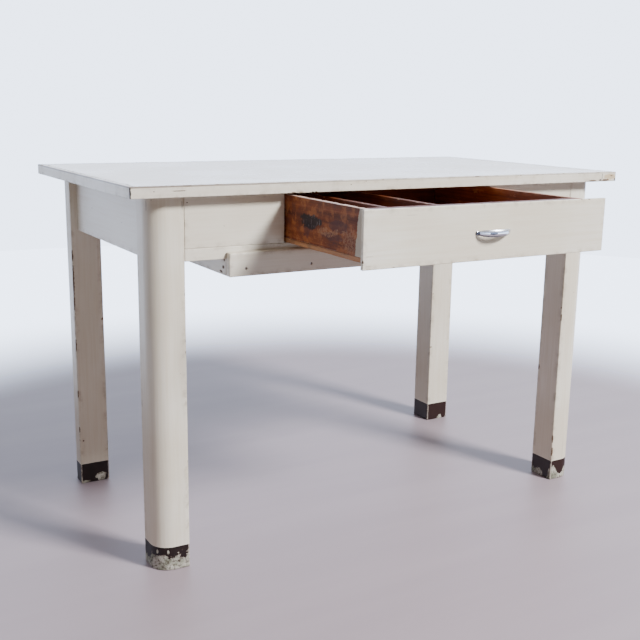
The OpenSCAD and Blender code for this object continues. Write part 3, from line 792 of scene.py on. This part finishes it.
cream = paint("cream_paint", chips=-0.07, dark=apron_dark, bare=bearer_bare)
cream_top = paint("cream_paint_top", colour_a=(0.73, 0.70, 0.65), colour_b=(0.82, 0.80, 0.77),
                  chips=-0.1, gloss=0.12)
cream_edging = paint("cream_paint_edging", chips=0.015, colour_a=(0.67, 0.62, 0.53), bare=edge_bare,
                     dark=edge_dark, filled=edge_filled, worn_edge=front_high.z)
cream_drawer = paint("cream_paint_drawer", chips=-0.045, faint=facing_faint)
leg_cream = leg_paint("cream_paint_legs", FOOT_BAND, foot_drips, chips=-0.05, bare=leg_bare,
                      dark=leg_dark, faint=leg_faint)
# Painted shade: a darker copy of the stained wood for the drawer's shaded inside.
stained_inside_painted_shade = stained_wood("stained_wood")
stained_left = stained_wood("stained_wood_left", top=(0.56, 0.40, 0.33), outside=True)
stained_right = stained_wood("stained_wood_right", top=(0.36, 0.17, 0.10))
pine = bare_wood("bare_pine")
orange_pine = bare_wood("bare_pine_bottom", (0.20, 0.075, 0.03), (0.42, 0.19, 0.075), (0.58, 0.32, 0.15))
bright_chrome = chrome("handle_chrome")
old_steel = steel("old_steel")


def without_tenons(node, along):
    """A node's box with its tenons cut off, so that it ends at the legs."""
    low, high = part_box(node)
    start, end = between_legs[along]
    low[along], high[along] = max(low[along], start), min(high[along], end)
    return low, high


def wooden(node, body, slot, along, material, box=None, **options):
    """Puts a board in place of a CAD node, of the node's size or of the box given."""
    low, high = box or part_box(node)
    install(board(node + "_wood", low, high, along, material, **options), body, node)


def mitred(low, high, along, open_low_end=0.0):
    """A change of shape that mitres both ends of an edging strip towards the panel.

    open_low_end draws the low end back that far from its mitre, except at the very corner.
    """
    outward = 1 - along
    middle = (low[along] + high[along]) / 2
    half = (high[along] - low[along]) / 2
    outer_side = low[outward] if (low[outward] + high[outward]) / 2 < top_middle[outward] else high[outward]

    def change(points):
        depth = np.abs(points[:, outward] - outer_side)
        near = np.clip(np.abs(points[:, along] - middle) / half, 0, 1)
        cut = depth * smooth(near, 0.9, 1.0)
        low_end = points[:, along] < middle
        cut += open_low_end * low_end * smooth(near, 0.98, 1.0) * smooth(depth, 0.1 * MM, 2 * MM)
        points[:, along] -= np.sign(points[:, along] - middle) * cut
        return points

    return change


panel_low, panel_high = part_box("top_panel")
top_middle = [(panel_low[n] + panel_high[n]) / 2 for n in range(3)]

wooden("top_panel", TABLE, "painted_top", 0, cream_top, radius=0.5 * MM, step=12 * MM, worn=0.1, seed=3,
       wavy=0.35 * MM)
for side, along, worn, opened, seed in (
        ("front", 0, 0.30, 0.8 * MM, 5), ("back", 0, 0.35, 0, 6), ("left", 1, 0.25, 0.8 * MM, 7),
        ("right", 1, 0.45, 0, 8)):
    node = "top_edging_" + side
    wooden(node, TABLE, "painted_top", along, cream_edging, radius=1.2 * MM, step=4 * MM, worn=worn,
           seed=seed, shape=mitred(*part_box(node), along, opened))


def foot_patch(corner, out, back, z, reach, amount):
    """A spot of a foot's band, out, back and up in mm from the leg's low corner, and its wear."""
    centre = corner.x + out * MM, corner.y + back * MM, z * MM
    return centre, tuple(half * MM for half in reach), amount


front_right_patches = [
    foot_patch(fr_corner, 0, 48, 4, (10, 24, 22), 2.6), foot_patch(fr_corner, 6, 0, 18, (12, 9, 32), 4.0),
    foot_patch(fr_corner, 54, 0, 16, (12, 10, 32), 3.8), foot_patch(fr_corner, 30, 0, 2, (34, 9, 13), 4.0)]
back_right_patches = [foot_patch(leg_br[0], 46, 0, 5, (8, 9, 9), 3.4)]
back_left_patches = [foot_patch(bl_corner, 48, 0, 16, (13, 10, 15), 3.0),
                     foot_patch(bl_corner, 12, 0, 4, (12, 9, 7), 2.2)]
for node, corner, worn, foot_wear, patches, seed in (
        ("leg_front_left", (-1, -1), -0.1, 1.15, [], 11),
        ("leg_front_right", (1, -1), 0.1, -1.2, front_right_patches, 12),
        ("leg_back_left", (-1, 1), 0.12, -1.1, back_left_patches, 13),
        ("leg_back_right", (1, 1), 0.05, -1.5, back_right_patches, 14)):
    install(leg(node, corner, leg_cream, worn, foot_wear, patches, seed), TABLE, node)

plain = {"radius": 1.2 * MM, "worn": 0.05}
for node, along, seed in (
        ("front_apron_left", 0, 21), ("front_apron_right", 0, 22), ("front_rail", 0, 23),
        ("back_apron", 0, 24), ("side_apron_left", 1, 25), ("side_apron_right", 1, 26)):
    wooden(node, TABLE, "painted_wood", along, cream, without_tenons(node, along), seed=seed, **plain)
for node, along, seed in (("bearer_left", 1, 27), ("bearer_right", 1, 28), ("front_cleat", 0, 29)):
    wooden(node, TABLE, "painted_wood", along, cream, seed=seed, **plain)
for node, seed in (("runner_left", 31), ("runner_right", 32), ("guide_left", 33), ("guide_right", 34)):
    wooden(node, TABLE, "bare_wood", 1, pine, seed=seed, radius=1.0 * MM, worn=0.4, step=14 * MM)


def islands(node):
    """The separate solids of a CAD node, each as an array of its points."""
    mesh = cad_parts[node].data
    points = np.array([v.co for v in mesh.vertices])
    _, same = np.unique(np.round(points, 6), axis=0, return_inverse=True)
    same = same.reshape(-1)
    root = list(range(same.max() + 1))

    def find(i):
        while root[i] != i:
            root[i] = root[root[i]]
            i = root[i]
        return i

    for polygon in mesh.polygons:
        first = find(same[polygon.vertices[0]])
        for v in polygon.vertices[1:]:
            root[find(same[v])] = first
    groups = {}
    for i, point in enumerate(points):
        groups.setdefault(find(same[i]), []).append(point)
    found = [np.array(g) for g in groups.values()]
    return sorted(found, key=lambda g: tuple(np.round(g.min(axis=0), 4)))


def joined(name, pieces):
    """Several objects joined into one."""
    with bpy.context.temp_override(active_object=pieces[0], selected_editable_objects=pieces):
        bpy.ops.object.join()
    pieces[0].name = name
    pieces[0].data.name = name
    return pieces[0]


for node, seed in (("top_blocks", 41), ("drawer_stops", 61)):
    parts = []
    for n, solid in enumerate(islands(node)):
        size = solid.max(axis=0) - solid.min(axis=0)
        parts.append(board(f"{node}_{n}", solid.min(axis=0), solid.max(axis=0), int(np.argmax(size)), pine,
                           radius=1.0 * MM, worn=0.5, seed=seed + n, step=8 * MM))
    install(joined(node + "_wood", parts), TABLE, node)

batten_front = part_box("front_batten")[0].y
nail_pits = []
for solid in islands("batten_nails"):
    low, high = solid.min(axis=0), solid.max(axis=0)
    nail_pits.append((1, -1, tuple((low + high) / 2), 2.5 * MM, low[1] - batten_front))
wooden("front_batten", TABLE, "painted_wood", 0, cream_drawer, radius=1.2 * MM, step=6 * MM, worn=0.15,
       seed=43, pits=nail_pits, soft_edge=(1, -1, 2, 1, 4 * MM))

# ---- the drawer --------------------------

wooden("drawer_facing", DRAWER, "painted_wood", 0, cream_drawer, radius=1.3 * MM, step=5 * MM, worn=0.1,
       seed=51, wavy=0.3 * MM)
# The inner front, back and partitions take the stained wood darkened with painted shade.
for node, along, material, seed in (
        ("drawer_inner_front", 0, stained_inside_painted_shade, 52), ("drawer_side_left", 1, stained_left, 53),
        ("drawer_side_right", 1, stained_right, 54), ("drawer_back", 0, stained_inside_painted_shade, 55),
        ("partition_left", 1, stained_inside_painted_shade, 56), ("partition_middle", 1, stained_inside_painted_shade, 57)):
    wooden(node, DRAWER, "stained_wood", along, material, radius=1.3 * MM, step=8 * MM, seed=seed)
wooden("drawer_bottom", DRAWER, "bare_wood", 1, orange_pine, radius=1.0 * MM, step=10 * MM, seed=58)


def bow_handle(name):
    """Chromed bow: a thin leaning strip, a crescent from above and a blunt lens from the front."""
    low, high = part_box(name)
    middle = (low + high) / 2
    half, tall, out = (high.x - low.x) / 2, (high.z - low.z) / 2, high.y - low.y
    thick, tip, foot, belly, groove = 3.4 * MM, 3.4 * MM, 3 * MM, 2.2 * MM, 0.7 * MM
    lean = 0.30 * (high.z - low.z)
    fullness, bluntness = 3.2, 0.45
    groove_at, groove_width = 0.18, 0.13
    reach = out - foot
    arc = (half ** 2 + reach ** 2) / (2 * reach)
    across, around = 96, 40
    verts, girth = [], []
    for i in range(across + 1):
        x = -half * math.cos(math.pi * i / across)
        outer = arc - out - math.sqrt(max(arc ** 2 - x ** 2, 0))
        inward = -outer / out
        end = abs(x) / half
        body = thick * (0.75 + 0.25 * inward)
        rise = tall * max(1 - end ** fullness, 0) ** bluntness
        rise = max(rise, tip * (1 - max(0, end - 0.95) * 8))
        for j in range(around):
            a = 2 * math.pi * j / around
            y = -math.copysign(abs(math.cos(a)) ** 0.8, math.cos(a))
            z = math.copysign(abs(math.sin(a)) ** 0.85, math.sin(a))
            back = body / 2 * (1 + y) + belly * inward * z * z + lean * inward * (1 - z) / 2
            if y < 0:
                back += groove * math.exp(-(((z - groove_at) / groove_width) ** 2))
            verts.append((middle.x + x, high.y + outer + back, middle.z + rise * z))
            girth.append(z if y < 0.2 else 1.0)
    rows = [list(range(i * around, (i + 1) * around)) for i in range(across + 1)]
    faces = [face for row, beyond in zip(rows, rows[1:]) for face in quads(row, beyond)]
    faces += [rows[0][::-1], rows[-1]]
    verts = np.array(verts)
    depth = np.maximum(high.y - verts[:, 1], 0)
    verts[:, 1] = high.y - depth * (out / depth.max())
    pieces = [mesh_piece(name + "_bow", verts, faces, {"girth": girth}, bright_chrome)]
    foot_size = Vector((9 * MM, foot, 7.5 * MM))
    for side in (-1, 1):
        x = middle.x + side * (half - foot_size.x / 2)
        corner = Vector((x - foot_size.x / 2, high.y - foot_size.y, middle.z - foot_size.z / 2))
        pieces.append(board(f"{name}_foot_{side}", corner, corner + foot_size, 0, bright_chrome,
                            radius=1.1 * MM, step=2 * MM, worn=0, seed=71, wavy=0))
    return joined(name + "_metal", pieces)


install(bow_handle("drawer_handle"), DRAWER, "drawer_handle")

for node in ("top_block_screws", "batten_nails", "bearer_nails", "drawer_corner_nails",
             "drawer_bottom_nails", "handle_screws"):
    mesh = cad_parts[node].data
    mesh.materials.clear()
    mesh.materials.append(old_steel)

# ---- floor, light and camera -------------

WALL_COLOUR = (0.70, 0.80, 1.0)
WALL_GLOW = 4.6
WALL_RADIUS, WALL_FOOT, WALL_TOP = 4.2, -0.02, 6.0
FLOOR_RADIUS, FLOOR_HUB = 1.25, 0.0002


def floor_material():
    """Pinkish grey floor that fades into the pale background away from the table."""
    s = Shader("floor_pale")
    place = s.place()
    planks = s.noise(s.stretch(place, (1.2, 9, 1)), 1.0, detail=4)
    colour = s.mix(s.step(planks, 0.3, 0.7), (0.335, 0.272, 0.300), (0.358, 0.292, 0.320))
    around = s.stretch(place, (1.0, 1.0, 0.0))
    radius = s.add("ShaderNodeVectorMath", {0: around}, "Value", operation="LENGTH")
    fade = s.step(radius, FLOOR_RADIUS, FLOOR_RADIUS + 1)
    colour = s.mix(fade, colour, (0.02, 0.02, 0.02))
    return s.finish(Base_Color=colour, Roughness=0.5, Specular_IOR_Level=0.3, Emission_Color=WALL_COLOUR,
                    Emission_Strength=s.times(fade, WALL_GLOW))


def backdrop_material():
    """Evenly glowing pale wall."""
    s = Shader("backdrop_pale")
    s.tree.nodes.clear()
    out = s.tree.nodes.new("ShaderNodeOutputMaterial")
    glow = s.add("ShaderNodeEmission", {"Color": WALL_COLOUR, "Strength": WALL_GLOW})
    s.tree.links.new(glow, out.inputs[0])
    return s.material


def ring(name, rows, material, start=0.0, turn=1.0):
    """Surface of revolution about the Z axis from (radius, height) rows, over a share of a turn."""
    around = 96
    angles = [2 * math.pi * (start + turn * i / around) for i in range(around + 1)]
    verts = [(r * math.cos(a), r * math.sin(a), z) for r, z in rows for a in angles]
    wide = around + 1
    faces = [[row * wide + i, row * wide + i + 1, (row + 1) * wide + i + 1, (row + 1) * wide + i]
             for row in range(len(rows) - 1) for i in range(around)]
    return mesh_piece(name, verts, faces, {}, material)


pinkish = floor_material()
floor = ring("floor", [(FLOOR_HUB, 0), (0.6, 0), (FLOOR_RADIUS, 0)], pinkish)
floor_beyond = ring("floor_beyond", [(FLOOR_RADIUS, 0), (2.0, 0), (WALL_RADIUS, 0)], pinkish)
floor_beyond.visible_diffuse = False
wall_rows = [(WALL_RADIUS, WALL_FOOT), (WALL_RADIUS, WALL_TOP)]
glow = backdrop_material()
wall_behind = ring("backdrop_behind", wall_rows, glow, 0.0, 0.5)
wall_in_front = ring("backdrop_in_front", wall_rows, glow, 0.5, 0.5)
for wall in (wall_behind, wall_in_front):
    wall.visible_shadow = False
    wall.visible_diffuse = False
wall_in_front.visible_glossy = False
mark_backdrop(floor, floor_beyond, wall_behind, wall_in_front)

world = bpy.data.worlds.new("soft_room")
world.use_nodes = True
world.node_tree.nodes["Background"].inputs["Color"].default_value = (1.0, 0.86, 0.78, 1)
world.node_tree.nodes["Background"].inputs["Strength"].default_value = 0.25
bpy.context.scene.world = world


def soft_light(name, direction, distance, size, power, colour, target=(0, 0, 0.4)):
    """Square area light that far from the target in that direction."""
    data = bpy.data.lights.new(name, "AREA")
    data.shape = "SQUARE"
    data.size = size
    data.energy = power
    data.color = colour
    lamp = bpy.data.objects.new(name, data)
    lamp.location = Vector(target) + Vector(direction).normalized() * distance
    lamp.rotation_mode = "QUATERNION"
    lamp.rotation_quaternion = Vector(direction).to_track_quat("Z", "Y")
    bpy.context.scene.collection.objects.link(lamp)


soft_light("window", (0.77, -1.25, 1.0), distance=5.5, size=1.05, power=760, colour=(0.97, 0.98, 1.0),
           target=(-0.33, -0.15, 0.65))
soft_light("wall_bounce", (-1.0, -0.25, 0.75), distance=3.0, size=1.6, power=10, colour=(0.80, 0.86, 1.0))

LENS, SENSOR = 53.8, 36
EYE = (-1.156, -1.817, 0.921)
YAW, PITCH, ROLL = 0.525, 0.224, 0.015
camera_data = bpy.data.cameras.new("camera")
camera_data.lens = LENS
camera_data.sensor_width = SENSOR
camera = bpy.data.objects.new("camera", camera_data)
forward = Vector((math.sin(YAW) * math.cos(PITCH), math.cos(YAW) * math.cos(PITCH), -math.sin(PITCH)))
level = Vector((math.cos(YAW), -math.sin(YAW), 0))
right = level * math.cos(ROLL) + level.cross(forward) * math.sin(ROLL)
up = right.cross(forward)
turned = Matrix((right, up, -forward)).transposed().to_4x4()
camera.matrix_world = Matrix.Translation(EYE) @ turned
bpy.context.scene.collection.objects.link(camera)
bpy.context.scene.camera = camera

low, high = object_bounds()
